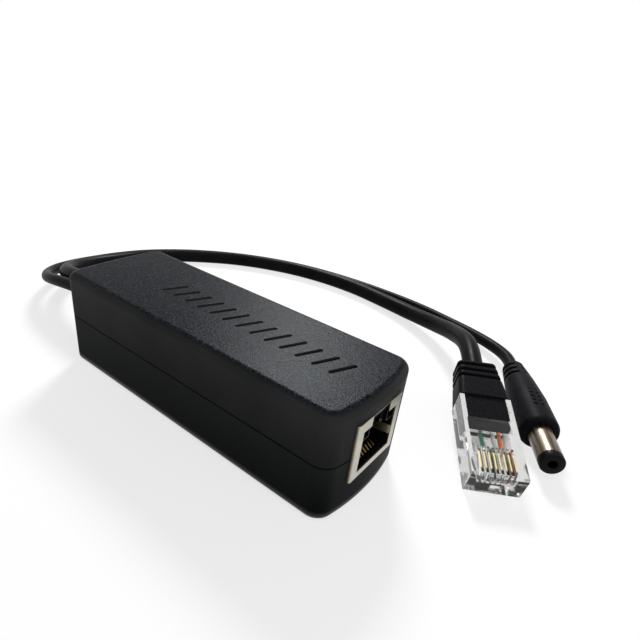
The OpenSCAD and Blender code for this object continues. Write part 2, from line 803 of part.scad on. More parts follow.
module net_lead()
    color(BLACK) tube(net_route, net_lead_d, 12, [-1, 0, 0],
        -[cos(plug_heading) * cos(plug_pitch), sin(plug_heading) * cos(plug_pitch), sin(plug_pitch)]);

module power_lead()
    color(BLACK) tube(power_route, power_lead_d, 8, [-1, 0, 0],
        -[cos(power_heading), sin(power_heading), 0]);

// Network plug

module latch() {
    upright_strip(LATCH_ROOT, latch_t, latch_w[0]);
    upright_strip([last(LATCH_ROOT) - [fit_gap, -snug], [latch_len, latch_t / 2 - latch_lift]],
        latch_t, latch_w[1]);
}

module plug_body()
    color("#dfe6ea", 0.5) at_plug() {
        difference() {
            block([0, plug_len], plug_w / 2 * [-1, 1], [0, plug_t]);
            // Room for the boot's tongue and its lid and, in front of them, for the fan of cores
            block([plug_len - cavity_len, plug_len + EPS], (tongue_w / 2 + fit_gap / 2) * [-1, 1],
                core_axis * [1, 1] + (tongue_t + fit_gap) / 2 * [-1, 1]);
            block([plug_len - lid_len - fit_gap / 2, plug_len + EPS],
                (tongue_w / 2 + fit_gap / 2) * [-1, 1], [core_axis, plug_t + EPS]);
            block([slot_from + blade_len + 3 * fit_gap, plug_len - cavity_len + EPS],
                (PINS * contact_pitch / 2 + fit_gap) * [-1, 1],
                core_axis * [1, 1] + core_bore * 2 / 3 * [-1, 1]);
            at_pins() {
                translate([slot_from + fit_gap, 0, core_axis])
                    rotate([0, 90, 0])
                        cylinder(d = core_bore, h = slot_from + blade_len, $fn = ROUND / 2);
                block([slot_from, slot_from + blade_len + 2 * fit_gap],
                    (contact_w / 2 + snug) * [-1, 1], [plug_t - slot_depth, plug_t + EPS]);
            }
            // Bevels along the nose
            for (edge = [0, 1])
                translate([0, 0, (1 - edge) * plug_t])
                    rotate([0, 45, 0])
                        cube(nose_bevel[edge] * sqrt(2) * [1, 0, 1] + [0, plug_w + 1, 0], center = true);
        }
        latch();
    }

module plug_contacts()
    color(GOLD) at_plug() at_pins()
        block([slot_from + fit_gap, slot_from + fit_gap + blade_len], contact_w / 2 * [-1, 1],
            [plug_t - slot_depth + snug, plug_t - blade_drop]);

plug_core_d = 0.9;
core_start = plug_len - cavity_len + fit_gap;
core_bend = [1.2, 1.4]; // straight length behind the fan of cores and in front of it

// Core i of the plug, from the boot's tongue to its channel under the contact
module plug_core(i, from_y)
    at_plug() {
        y = (i - (PINS - 1) / 2) * contact_pitch;
        tube([[core_start, from_y, core_axis], [core_start - core_bend[0], from_y, core_axis],
            [slot_from + blade_len + core_bend[1], y, core_axis],
            [slot_from + blade_len, y, core_axis], [core_bend[0], y, core_axis]],
            plug_core_d, 8, [-1, 0, 0], [-1, 0, 0]);
    }

module plug_core_green()
    color("#1f7a5c") plug_core(5, 1.7);

module plug_core_orange()
    color("#e0672c") plug_core(1, -2.3);

module plug_cores_white()
    color("#ecebe6") {
        plug_core(2, -0.9);
        plug_core(0, -3.5);
    }

groove_w = 0.9;
groove_pitch = 2;
groove_depth = 0.8;
groove_from = 1;

boot_corner_r = 1.3;
boot_front = 0.02;      // gap between the plug and the boot
boot_root = 0.5;        // how far the tongue runs into the boot
boot_end = [0.3, 0.4];  // length and depth of the bevel round its rear end
groove_flank = 0.15;
BOOT_STEPS = 3;         // facets of one corner of the boot
tongue_outline = [[0, -tongue_w / 2 + tongue_chamfer], [tongue_chamfer, -tongue_w / 2],
    [tongue_len + boot_root, -tongue_w / 2], [tongue_len + boot_root, tongue_w / 2],
    [tongue_chamfer, tongue_w / 2], [0, tongue_w / 2 - tongue_chamfer]];

function rect_ring(x, w, t, r) =
    let (y = w / 2 - r, z = t / 2 - r, turn = [[1, 1, 0], [-1, 1, 90], [-1, -1, 180], [1, -1, 270]])
    [for (c = turn, i = [0:BOOT_STEPS]) let (a = c[2] + 90 * i / BOOT_STEPS)
        [x, c[0] * y + r * cos(a), lead_axis + c[1] * z + r * sin(a)]];

// Width and thickness of the boot at a distance from its front, less a groove's depth
function boot_ring(s, cut) =
    let (f = s / boot_len)
    rect_ring(plug_len + s, boot_w + (boot_rear_w - boot_w) * f - 2 * cut,
        boot_t + (boot_rear_t - boot_t) * f - 2 * cut, boot_corner_r);

module plug_boot() {
    grooves = [for (g = [2:-1:0]) boot_len - groove_from - groove_w - g * groove_pitch];
    edges = [for (g = grooves) each [[g, 0], [g + groove_flank, groove_depth],
        [g + groove_w - groove_flank, groove_depth], [g + groove_w, 0]]];
    color(BLACK) at_plug() {
        loft([for (e = concat([[boot_front, 0]], edges, [[boot_len - boot_end[0], 0],
            [boot_len, boot_end[1]]])) boot_ring(e[0], e[1])]);
        translate([plug_len - tongue_len, 0, core_axis - tongue_t / 2])
            linear_extrude(tongue_t)
                polygon(tongue_outline);
        block([plug_len - lid_len, plug_len + boot_root], tongue_w / 2 * [-1, 1],
            [core_axis, plug_t - lid_drop]);
    }
}

// Power plug

module power_plug_tip()
    color("#0f1011") at_power_plug() turned([[0, tip_bore / 2], [0, sleeve_d / 2 - 0.4],
        [0.4, sleeve_d / 2], [tip_len, sleeve_d / 2], [tip_len, sleeve_d / 2 - sleeve_t],
        [sleeve_len - sleeve_t, sleeve_d / 2 - sleeve_t], [sleeve_len - sleeve_t, socket_r + snug],
        [tip_len, socket_r + snug], [tip_len, tip_bore / 2]]);

module power_plug_sleeve()
    color("#c9c5bd") at_power_plug() turned([[tip_len, sleeve_d / 2 - sleeve_t],
        [tip_len, sleeve_d / 2], [sleeve_len, sleeve_d / 2], [sleeve_len, neck_r],
        [sleeve_len + neck_len, neck_r], [sleeve_len + neck_len, neck_r - sleeve_t],
        [sleeve_len - sleeve_t, neck_r - sleeve_t], [sleeve_len - sleeve_t, sleeve_d / 2 - sleeve_t]]);

module power_plug_socket()
    color(GOLD) at_power_plug() turned([[tip_len + snug, tip_bore / 2],
        [tip_len + snug, socket_r], [sleeve_len + core_from, socket_r],
        [sleeve_len + core_from, 0], [bore_depth, 0], [bore_depth, tip_bore / 2]]);

relief_from = sleeve_len + grip_len;
neck_len = 6;
neck_r = sleeve_d / 2 - 0.4;
socket_r = tip_bore / 2 + 0.25;
core_from = 2;
relief_groove_depth = 1.2;
relief_groove_w = 1.2;
relief_groove_pitch = 2.6;
grip_round = [[0, 0.9], [0.3, 0.3], [1, 0]]; // distances from the grip's front, and depths
grip_waist = [0.55, 0.1];                    // share of its length, and depth
relief_round = [0.5, 0.4];
notch_r = 0.6;
notch_len = 4;
notch_pitch = 1.8;
notches_from = 4.4;

function relief_r(s) = grip_rear_d / 2 + (relief_d - grip_rear_d) / 2 * s / relief_len;

module power_plug_grip()
    color(BLACK) at_power_plug() difference() {
        turned([[sleeve_len, neck_r], each [for (p = grip_round) [sleeve_len + p[0], grip_d / 2 - p[1]]],
            [sleeve_len + grip_len * grip_waist[0], grip_d / 2 - grip_waist[1]],
            [relief_from, grip_rear_d / 2],
            [relief_from + relief_len - relief_round[0], relief_r(relief_len - relief_round[0])],
            [relief_from + relief_len, relief_d / 2 - relief_round[1]], [relief_from + relief_len, 0],
            [sleeve_len + core_from, 0], [sleeve_len + core_from, neck_r - sleeve_t],
            [sleeve_len + neck_len, neck_r - sleeve_t], [sleeve_len + neck_len, neck_r]]);
        // Grooves of the strain relief, open at both sides and bridged above and below
        for (g = [0:2], side = [0, 1])
            mirror([0, side, 0])
                translate([relief_from + relief_groove_w + g * relief_groove_pitch, 0, 0])
                    difference() {
                        block([0, relief_groove_w], [1, grip_d / 2], grip_d / 2 * [-1, 1]);
                        rotate([0, 90, 0])
                            cylinder(r = relief_r(relief_groove_w * 1.5 + g * relief_groove_pitch)
                                - relief_groove_depth, h = 4 * relief_groove_w, center = true, $fn = ROUND);
                    }
        // Finger notches along both sides
        for (i = [0:4], side = [-1, 1])
            translate([sleeve_len + notches_from + i * notch_pitch, side * (grip_d / 2 + notch_r / 3), 0])
                cylinder(r = notch_r, h = notch_len, center = true, $fn = ROUND / 2);
    }

lower_shell();
upper_shell();
jack_shield();
jack_insert();
jack_contacts();
circuit_board();
lan_transformer();
bridge_rectifiers();
power_controller();
output_controller();
transformer_core();
transformer_bobbin();
transformer_winding();
input_capacitor();
output_capacitor();
output_choke();
output_diode();
chip_capacitors();
cable_tie();
net_cores();
power_core_plus();
power_core_minus();
net_lead();
power_lead();
plug_boot();
plug_body();
plug_contacts();
plug_core_green();
plug_core_orange();
plug_cores_white();
power_plug_grip();
power_plug_sleeve();
power_plug_tip();
power_plug_socket();
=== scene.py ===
"""Looks of the inline power splitter: finer shells, leads and mouldings, and a finish for every piece.

Lengths are millimetres in the part's frame until a mesh is made, and every mesh is in metres.
"""

import math

import bmesh
import bpy
from mathutils import Matrix, Vector
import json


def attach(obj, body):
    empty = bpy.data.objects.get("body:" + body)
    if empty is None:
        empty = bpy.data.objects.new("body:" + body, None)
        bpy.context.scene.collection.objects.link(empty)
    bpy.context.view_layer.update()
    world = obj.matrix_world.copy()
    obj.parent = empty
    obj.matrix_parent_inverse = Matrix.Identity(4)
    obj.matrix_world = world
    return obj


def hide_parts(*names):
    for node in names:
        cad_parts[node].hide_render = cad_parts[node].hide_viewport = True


MM = 0.001

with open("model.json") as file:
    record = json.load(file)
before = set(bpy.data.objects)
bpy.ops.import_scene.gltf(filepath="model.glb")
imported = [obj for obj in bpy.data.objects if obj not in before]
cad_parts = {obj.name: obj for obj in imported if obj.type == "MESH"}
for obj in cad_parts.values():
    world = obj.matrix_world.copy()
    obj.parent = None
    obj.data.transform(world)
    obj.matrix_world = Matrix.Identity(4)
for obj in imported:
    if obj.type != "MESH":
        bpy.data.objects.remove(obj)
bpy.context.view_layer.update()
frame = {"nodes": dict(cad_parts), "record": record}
nodes = frame["nodes"]

# Measures that the housing shares with the part's source
HOUSING_LEN, HOUSING_W, HOUSING_H, WALL = 85.0, 28.6, 25.0, 1.8
SPLIT_H, SEAM_BEVEL = 13.3, 0.2
FRONT_BOW, REAR_BOW = 1.9, 1.0
FRONT_CORNER_R, REAR_CORNER_R = 3.9, 3.0
TOP_EDGE_R, BOTTOM_EDGE_R = 1.9, 1.6
BOARD_TOP = 7.6
JACK_FACE, JACK_W, JACK_H = 42.5, 16.0, 13.4
LATCH_GAP_W = 6.4
FIT_GAP = 0.2

# Leads, along the same points as in the part's source
NET_LEAD_D, POWER_LEAD_D = 5.0, 3.5
NET_ROUTE = [(-34, 2, 12.6), (-42, 2, 12.6), (-50.3, 1.9, 12.5), (-59.5, 1.8, 12), (-68.1, 2.2, 10.9),
             (-76, 4, 9.2), (-82.2, 7.9, 7.4), (-87, 13.8, 5.7), (-89.8, 21.2, 4.3), (-90.6, 29.5, 3.2),
             (-89.4, 38.3, 2.6), (-85.6, 47, 2.6), (-79.9, 55.4, 2.6), (-72.3, 63.4, 2.6),
             (-63.5, 70.6, 2.6), (-52.8, 76.7, 2.6), (-41, 81.3, 2.6), (-28, 84, 2.6),
             (-14.5, 84.6, 2.6), (-1, 82.8, 2.7), (12, 79, 3.6), (23, 73, 5.9), (32, 65, 9.2),
             (39.3, 55.5, 12), (45.4, 44.8, 11.28)]
POWER_ROUTE = [(-34, -2.5, 12.6), (-42, -2.5, 12.6), (-50.9, -2.7, 12.4), (-61.5, -3, 11.5),
               (-71.4, -2.8, 9.9), (-79.4, -1.1, 7.9), (-86.6, 3.1, 6), (-92.2, 9.6, 4.4),
               (-95.6, 17.6, 3.1), (-96.8, 26.4, 2.2), (-95.9, 35.8, 1.8), (-92.4, 45.4, 1.8),
               (-86.6, 54.8, 1.8), (-78.9, 63.7, 1.8), (-69.4, 71.9, 1.8), (-58, 79.1, 1.8),
               (-45.4, 84.6, 1.8), (-31.6, 88.2, 1.8), (-17, 90, 1.8), (-2.5, 90.3, 1.8),
               (11, 89.3, 1.8), (22.7, 86.8, 1.9), (32.5, 83.2, 2.5), (40.6, 78.4, 3.4),
               (46.5, 72.9, 4.3), (50.6, 66.4, 4.65)]
PLUG_HEADING, PLUG_PITCH, PLUG_REACH, LEAD_AXIS = math.radians(122.5), math.radians(14), 33.5, 3.3
POWER_HEADING, POWER_REACH = math.radians(119), 40.5

# From the network plug's own frame, nose at the origin and lead along +X, into the part's frame
PLUG_PLACE = (Matrix.Translation(NET_ROUTE[-1]) @ Matrix.Rotation(PLUG_HEADING, 4, "Z")
              @ Matrix.Rotation(-PLUG_PITCH, 4, "Y") @ Matrix.Translation((-PLUG_REACH, 0, -LEAD_AXIS)))
# From the power plug's own frame, tip at the origin and lead along +X, into the part's frame
POWER_PLACE = (Matrix.Translation(POWER_ROUTE[-1]) @ Matrix.Rotation(POWER_HEADING, 4, "Z")
               @ Matrix.Translation((-POWER_REACH, 0, 0)))


# Camera

def make_camera():
    """The camera that the photograph was taken from, found from the housing's edges."""
    right = (0.77086782, 0.63047154, 0.09093091)
    down = (0.36495105, -0.32012844, -0.87425883)
    ahead = (-0.52208575, 0.70712334, -0.47686797)
    place = (0.072111, -0.071338, 0.074803)
    data = bpy.data.cameras.new("camera")
    data.sensor_width = 36
    data.lens = 27.853
    data.shift_x, data.shift_y = 0.0469, 0.02475
    data.clip_start, data.clip_end = 0.005, 20
    camera = bpy.data.objects.new("camera", data)
    bpy.context.scene.collection.objects.link(camera)
    camera.matrix_world = Matrix([(right[i], -down[i], -ahead[i], place[i]) for i in range(3)]
                                 + [(0, 0, 0, 1)])
    bpy.context.scene.camera = camera


make_camera()


# Node trees as expressions

class Value:
    """A socket that takes part in Python sums."""

    def __init__(self, tree, socket):
        self.tree, self.socket = tree, socket

    def _math(self, operation, first, second=None):
        return self.tree.node("ShaderNodeMath", {"operation": operation},
                              {0: first} if second is None else {0: first, 1: second})

    def __add__(self, other):
        return self._math("ADD", self, other)

    __radd__ = __add__

    def __sub__(self, other):
        return self._math("SUBTRACT", self, other)

    def __rsub__(self, other):
        return self._math("SUBTRACT", other, self)

    def __mul__(self, other):
        return self._math("MULTIPLY", self, other)

    __rmul__ = __mul__

    def __truediv__(self, other):
        return self._math("DIVIDE", self, other)

    def __pow__(self, other):
        return self._math("POWER", self, other)

    def above(self, edge, soft=0.0):
        """0 below the edge and 1 above it, over a soft width."""
        if not soft:
            return self._math("GREATER_THAN", self, edge)
        return self.tree.node("ShaderNodeMapRange", {"clamp": True},
                              {"Value": self, "From Min": edge - soft / 2, "From Max": edge + soft / 2})

    def high(self, other):
        return self._math("MAXIMUM", self, other)

    def size(self):
        return self._math("ABSOLUTE", self)

    def wave(self):
        return self._math("SINE", self)


class Nodes:
    """A node tree, with one method that makes its nodes."""

    def __init__(self, tree):
        self.tree = tree

    def node(self, kind, settings=None, sockets=None, out=0):
        made = self.tree.nodes.new(kind)
        for name, value in (settings or {}).items():
            if name == "stops":
                ramp = made.color_ramp
                while len(ramp.elements) < len(value):
                    ramp.elements.new(0.5)
                for element, (position, colour) in zip(ramp.elements, value):
                    element.position, element.color = position, (*colour, 1)
            else:
                setattr(made, name, value)
        for name, value in (sockets or {}).items():
            if isinstance(value, Value):
                self.tree.links.new(value.socket, made.inputs[name])
            else:
                made.inputs[name].default_value = value
        return Value(self, made.outputs[out])

    def link(self, value, node, socket):
        self.tree.links.new(value.socket, self.tree.nodes[node].inputs[socket])

    def seen(self):
        """1 for rays of the camera, of metal and of glass."""
        camera, glossy, passed = (self.node("ShaderNodeLightPath", out="Is %s Ray" % kind)
                                  for kind in ("Camera", "Glossy", "Transmission"))
        return camera + glossy + passed


class Finish(Nodes):
    """A material of the part."""

    def __init__(self, name, **constants):
        self.material = bpy.data.materials.new(name)
        self.material.use_nodes = True
        super().__init__(self.material.node_tree)
        self.shader = self.tree.nodes["Principled BSDF"]
        for socket, value in constants.items():
            self.shader.inputs[socket.replace("_", " ")].default_value = value
        self.place = self.node("ShaderNodeTexCoord", {}, {}, "Object")

    def millimetres(self, stretch=(1, 1, 1)):
        """Object coordinates in millimetres, stretched along the axes."""
        return self.node("ShaderNodeMapping", {}, {"Vector": self.place,
                                                   "Scale": tuple(1000 * s for s in stretch)})

    def grain(self, scale, detail=2.0, stretch=(1, 1, 1), rough=0.5, heading=None):
        """Noise with a feature every 1 / scale millimetres, stretched along a heading if one is given."""
        place = self.millimetres(stretch)
        if heading is not None:
            turned = self.node("ShaderNodeMapping", {}, {"Vector": self.millimetres(),
                                                         "Rotation": (0, 0, -heading)})
            place = self.node("ShaderNodeMapping", {}, {"Vector": turned, "Scale": stretch})
        return self.node("ShaderNodeTexNoise", {}, {"Vector": place, "Scale": scale, "Detail": detail,
                                                    "Roughness": rough})

    def along(self, place):
        """Distance along the X axis of a plug's frame, in millimetres."""
        way = place.to_3x3() @ Vector((1, 0, 0))
        reach = self.node("ShaderNodeVectorMath", {"operation": "DOT_PRODUCT"},
                          {0: self.millimetres(), 1: tuple(way)}, "Value")
        return reach - place.translation.dot(way)

    def cells(self, scale, out="Distance"):
        return self.node("ShaderNodeTexVoronoi", {}, {"Vector": self.millimetres(), "Scale": scale}, out)

    def axis(self, name):
        """One coordinate of the surface, in millimetres."""
        return self.node("ShaderNodeSeparateXYZ", {}, {0: self.place}, "XYZ".index(name)) * 1000.0

    def facing(self, name):
        """How far the surface faces along an axis."""
        normal = self.node("ShaderNodeNewGeometry", {}, {}, "Normal")
        return self.node("ShaderNodeSeparateXYZ", {}, {0: normal}, "XYZ".index(name))

    def blend(self, amount, low, high):
        made = self.tree.nodes.new("ShaderNodeMix")
        made.data_type = "RGBA"
        for index, value in ((0, amount), (6, low), (7, high)):
            if isinstance(value, Value):
                self.tree.links.new(value.socket, made.inputs[index])
            else:
                made.inputs[index].default_value = value if index == 0 else (*value[:3], 1)
        return Value(self, made.outputs[2])

    def colour(self, value):
        self.tree.links.new(value.socket, self.shader.inputs["Base Color"])

    def roughness(self, value):
        self.tree.links.new(value.socket, self.shader.inputs["Roughness"])

    def coat(self, value):
        self.tree.links.new(value.socket, self.shader.inputs["Coat Weight"])

    def relief(self, height, depth):
        """Bumps of the given depth in millimetres."""
        bump = self.node("ShaderNodeBump", {}, {"Height": height, "Distance": depth * MM, "Strength": 1.0})
        self.tree.links.new(bump.socket, self.shader.inputs["Normal"])


def housing_finish():
    """Spark-eroded black plastic: a speckled grain on the top, satin sides, and painted light and shade.
    """
    f = Finish("housing", Specular_IOR_Level=0.02, Specular_Tint=(0.76, 0.89, 1.0, 1),
               Coat_Roughness=0.3)
    top = f.facing("Z").above(0.8, 0.3)
    spark, fine = f.grain(2.1, 2.0, rough=0.8), f.grain(8.0, 2.0)
    fleck, cloud = f.cells(2.1), f.grain(0.05, 2.0)
    height = f.axis("Z")
    # The groove floors lose the pale flecks, which is painted shade that darkens the grooves; they are
    # also rougher.
    sunk = (height.above(HOUSING_H - 1) * (1 - height.above(HOUSING_H - 0.06, 0.05))
            * (1 - f.axis("Y").size().above(5.0)) * (1 - f.axis("X").size().above(36.0)))
    pale = (spark.above(0.56, 0.12) * 0.85 + fleck.above(0.5, 0.2) * 0.2) * (top * 0.9 + 0.1) * (1 - sunk)
    speckled = f.blend(pale, (0.001, 0.0011, 0.0012), (0.021, 0.026, 0.034))
    # Painted light: the sides get a cloudy lighter colour that grows towards the top.
    painted_side_light = (1 - top) * (height / HOUSING_H) ** 1.5 * (cloud * 0.8 + 0.2)
    # Painted shade: a near-black band along the seam between the two shells.
    seam_shade = 1 - (height - SPLIT_H).size().above(SEAM_BEVEL, 0.08)
    f.colour(f.blend(seam_shade, f.blend(painted_side_light, speckled, (0.05, 0.0515, 0.0485)), (0.004, 0.004, 0.004)))
    f.roughness(0.30 + (fine - 0.5) * 0.1 + (cloud - 0.5) * 0.08 + sunk * 0.4 + (1 - top) * 0.16)
    f.relief(spark * (top * 0.9 + 0.1) + fine * 0.1, 0.07)
    f.coat((1 - height.above(1.8, 1.4)) * 0.8)
    return f.material


def jacket_finish():
    """Satin black lead jacket."""
    f = Finish("lead_jacket", Specular_IOR_Level=0.02)
    fine, cloud = f.grain(5.0, 3.0), f.grain(0.12, 2.0)
    f.colour(f.blend(cloud.above(0.5, 0.6), (0.004, 0.004, 0.0043), (0.008, 0.008, 0.009)))
    f.roughness(0.36 + (fine - 0.5) * 0.2 + (cloud - 0.5) * 0.2)
    f.relief(fine, 0.02)
    return f.material


def moulding_finish():
    """Finely grained black moulding of the boot and the grip."""
    f = Finish("moulded_boot", Specular_IOR_Level=0.015)
    spark, fine = f.grain(3.6, 3.0, rough=0.7), f.grain(11.0, 2.0)
    cloud = f.grain(0.15, 2.0)
    f.colour(f.blend(spark.above(0.55, 0.25), (0.004, 0.004, 0.0045), (0.017, 0.017, 0.02)))
    f.roughness(0.42 + (fine - 0.5) * 0.2 + (cloud - 0.5) * 0.15)
    f.relief(spark + fine * 0.4, 0.03)
    return f.material


def clear_finish():
    """Clear moulded plastic, a little cloudy and grey."""
    f = Finish("clear_plastic", Transmission_Weight=1.0, IOR=1.3, Specular_IOR_Level=0.25)
    cloud, fine = f.grain(0.35, 3.0), f.grain(2.2, 2.0)
    f.colour(f.blend(cloud.above(0.5, 0.5), (0.66, 0.66, 0.65), (0.80, 0.80, 0.79)))
    f.roughness(0.04 + cloud * 0.06)
    f.relief(fine, 0.006)
    return f.material


def sheet_finish():
    """Tinned spring sheet, with fine rolling lines, duller patches, and painted shade on every face but
    the front.
    """
    f = Finish("tinned_sheet", Metallic=0.85)
    lines, cloud = f.grain(2.0, 3.0, (0.2, 1, 7)), f.grain(0.3, 3.0)
    front = f.facing("X").above(0.6, 0.4)
    tin = f.blend(cloud.above(0.5, 0.5), (0.46, 0.43, 0.36), (0.58, 0.55, 0.47))
    # Painted shade: faces that don't face the front get a much darker tin colour.
    f.colour(f.blend(front, f.blend(cloud.above(0.5, 0.5), (0.15, 0.13, 0.095), (0.22, 0.19, 0.14)), tin))
    f.roughness(0.34 + (lines - 0.5) * 0.2 + (cloud - 0.5) * 0.2)
    f.relief(lines, 0.01)
    return f.material


def nickel_finish():
    """Dull nickel plating, with painted reflections as streaks along the sleeve."""
    f = Finish("nickel", Metallic=1.0)
    reflection_streak = f.grain(0.9, 3.0, (0.05, 1, 1), 0.6, POWER_HEADING)
    cloud, fine = f.grain(0.25, 2.0), f.grain(4.0, 3.0)
    # Painted reflections: dark and light streaks along the sleeve.
    f.colour(f.blend(reflection_streak.above(0.5, 0.22), (0.05, 0.035, 0.022), (0.32, 0.27, 0.21)))
    f.roughness(0.34 + (fine - 0.5) * 0.1 + (cloud - 0.5) * 0.1)
    f.relief(fine, 0.004)
    return f.material


def gold_finish(name, place=None):
    """Gold plating, darkened as painted shade; a plug's blades are bright, their ends bare nickel darkened
    as painted shade.
    """
    f = Finish(name, Metallic=1.0)
    cloud, fine = f.grain(0.5, 2.0), f.grain(5.0, 3.0)
    # The plain gold is far darker than gold: painted shade for contacts deep inside the jack.
    gold = f.blend(cloud.above(0.5, 0.5), (0.12, 0.085, 0.032), (0.18, 0.13, 0.054))
    if place:
        reach = f.along(place)
        bright = f.blend(cloud.above(0.5, 0.5), (0.83, 0.68, 0.34), (0.93, 0.82, 0.52))
        # Both ends of each blade are near-black: bare nickel partly, and painted shade of the slots
        # partly.
        gold = f.blend(reach.above(2.0, 0.3) * (1 - reach.above(6.05, 0.2)), (0.06, 0.045, 0.03), bright)
    f.colour(gold)
    f.roughness(0.3 + (fine - 0.5) * 0.2)
    f.relief(fine, 0.006)
    return f.material


def plain_finish(name, dark, light, rough, scale=1.5, depth=0.01, **constants):
    """A moulding or coating with cloudy colour and a fine grain."""
    f = Finish(name, **constants)
    cloud, fine = f.grain(scale * 0.2, 2.0), f.grain(scale * 3, 3.0)
    f.colour(f.blend(cloud.above(0.5, 0.6), dark, light))
    f.roughness(rough + (fine - 0.5) * 0.15 + (cloud - 0.5) * 0.1)
    f.relief(fine, depth)
    return f.material


def board_finish():
    """Green solder mask over copper tracks, with a pale core at the cut edges."""
    f = Finish("board")
    mask = f.facing("Z").size().above(0.5, 0.2)
    tracks = f.node("ShaderNodeTexBrick", {"offset": 0.35},
                    {"Vector": f.millimetres(), "Scale": 0.5, "Mortar Size": 0.06, "Color1": (0, 0, 0, 1),
                     "Color2": (0.2, 0.2, 0.2, 1), "Mortar": (1, 1, 1, 1)}, "Fac")
    cloud = f.grain(0.4, 2.0)
    green = f.blend(tracks, (0.012, 0.11, 0.045), (0.03, 0.2, 0.08))
    f.colour(f.blend(mask, (0.42, 0.4, 0.22), green))
    f.roughness(0.3 + (cloud - 0.5) * 0.2 + (1 - mask) * 0.4)
    f.relief(tracks, 0.03)
    return f.material


MATERIALS = {
    "housing": housing_finish(),
    "tinned_sheet": sheet_finish(),
    "jack_plastic": plain_finish("jack_plastic", (0.003, 0.003, 0.003), (0.006, 0.006, 0.0065), 0.34,
                                  Specular_IOR_Level=0.06),
    "gold_contacts": gold_finish("gold_contacts"),
    "board": board_finish(),
    "package": plain_finish("package", (0.014, 0.014, 0.015), (0.024, 0.024, 0.026), 0.55, 3.0, 0.02),
    "ferrite": plain_finish("ferrite", (0.045, 0.045, 0.05), (0.075, 0.075, 0.08), 0.6, 2.0, 0.02),
    "winding_tape": plain_finish("winding_tape", (0.55, 0.38, 0.07), (0.68, 0.5, 0.13), 0.35, 0.8),
    "can": plain_finish("can", (0.02, 0.022, 0.035), (0.035, 0.04, 0.055), 0.35, 0.8),
    "ceramic": plain_finish("ceramic", (0.42, 0.31, 0.19), (0.56, 0.43, 0.28), 0.45, 2.0),
    "white_insulation": plain_finish("white_insulation", (0.74, 0.74, 0.71), (0.84, 0.84, 0.82), 0.35),
    "red_insulation": plain_finish("red_insulation", (0.42, 0.02, 0.015), (0.55, 0.035, 0.025), 0.35),
    "green_insulation": plain_finish("green_insulation", (0.012, 0.17, 0.1), (0.025, 0.27, 0.17), 0.35),
    "orange_insulation": plain_finish("orange_insulation", (0.78, 0.16, 0.03), (0.9, 0.24, 0.06), 0.35),
    "lead_jacket": jacket_finish(),
    "moulded_boot": moulding_finish(),
    "clear_plastic": clear_finish(),
    "nickel": nickel_finish(),
}


# Meshes

def link(name, mesh):
    piece = bpy.data.objects.new(name, mesh)
    bpy.context.scene.collection.objects.link(piece)
    return piece


def plain_mesh(piece):
    """Turns a piece's modifiers into its mesh."""
    evaluated = piece.evaluated_get(bpy.context.evaluated_depsgraph_get())
    mesh = bpy.data.meshes.new_from_object(evaluated)
    old = piece.data
    piece.modifiers.clear()
    piece.data = mesh
    bpy.data.meshes.remove(old)
    return piece


def loft(name, rings, place=Matrix.Identity(4), closed=True):
    """Skin over rings of equally many points, in millimetres, with both ends filled."""
    mesh = bmesh.new()
    grid = [[mesh.verts.new(place @ Vector(p) * MM) for p in ring] for ring in rings]
    count = len(rings[0])
    for low, high in zip(grid, grid[1:]):
        for i in range(count):
            j = (i + 1) % count
            mesh.faces.new((low[i], low[j], high[j], high[i]))
    if closed:
        mesh.faces.new(list(reversed(grid[0])))
        mesh.faces.new(grid[-1])
    bmesh.ops.recalc_face_normals(mesh, faces=mesh.faces)
    data = bpy.data.meshes.new(name)
    mesh.to_mesh(data)
    mesh.free()
    return link(name, data)


def lathe(name, profile, place, segments=96):
    """Body turned round its own X axis from [distance, radius] points, closed where it meets the axis."""
    mesh = bmesh.new()
    rings = []
    for x, r in profile:
        if r < 1e-6:
            rings.append([mesh.verts.new(place @ Vector((x, 0, 0)) * MM)])
        else:
            turns = (2 * math.pi * i / segments for i in range(segments))
            rings.append([mesh.verts.new(place @ Vector((x, r * math.cos(a), r * math.sin(a))) * MM)
                          for a in turns])
    for low, high in zip(rings, rings[1:] + rings[:1]):
        if len(low) == len(high) == 1:
            continue
        for i in range(segments):
            j = (i + 1) % segments
            corners = [low[i % len(low)], low[j % len(low)], high[j % len(high)], high[i % len(high)]]
            mesh.faces.new(list(dict.fromkeys(corners)))
    bmesh.ops.recalc_face_normals(mesh, faces=mesh.faces)
    data = bpy.data.meshes.new(name)
    mesh.to_mesh(data)
    mesh.free()
    return link(name, data)


def block(name, low, high, place=Matrix.Identity(4)):
    """Box between two corners, for cutting."""
    mesh = bmesh.new()
    bmesh.ops.create_cube(mesh, size=1.0)
    for v in mesh.verts:
        v.co = place @ Vector([low[i] + (v.co[i] + 0.5) * (high[i] - low[i]) for i in range(3)]) * MM
    bmesh.ops.recalc_face_normals(mesh, faces=mesh.faces)
    data = bpy.data.meshes.new(name)
    mesh.to_mesh(data)
    mesh.free()
    return link(name, data)


def carve(piece, cutters, join=()):
    """Takes the cutters out of a piece, and joins others to it."""
    for operation, others in (("DIFFERENCE", cutters), ("UNION", join)):
        for other in others:
            cut = piece.modifiers.new("cut", "BOOLEAN")
            cut.operation, cut.object, cut.solver = operation, other, "EXACT"
    plain_mesh(piece)
    for other in (*cutters, *join):
        bpy.data.objects.remove(other)
    return piece


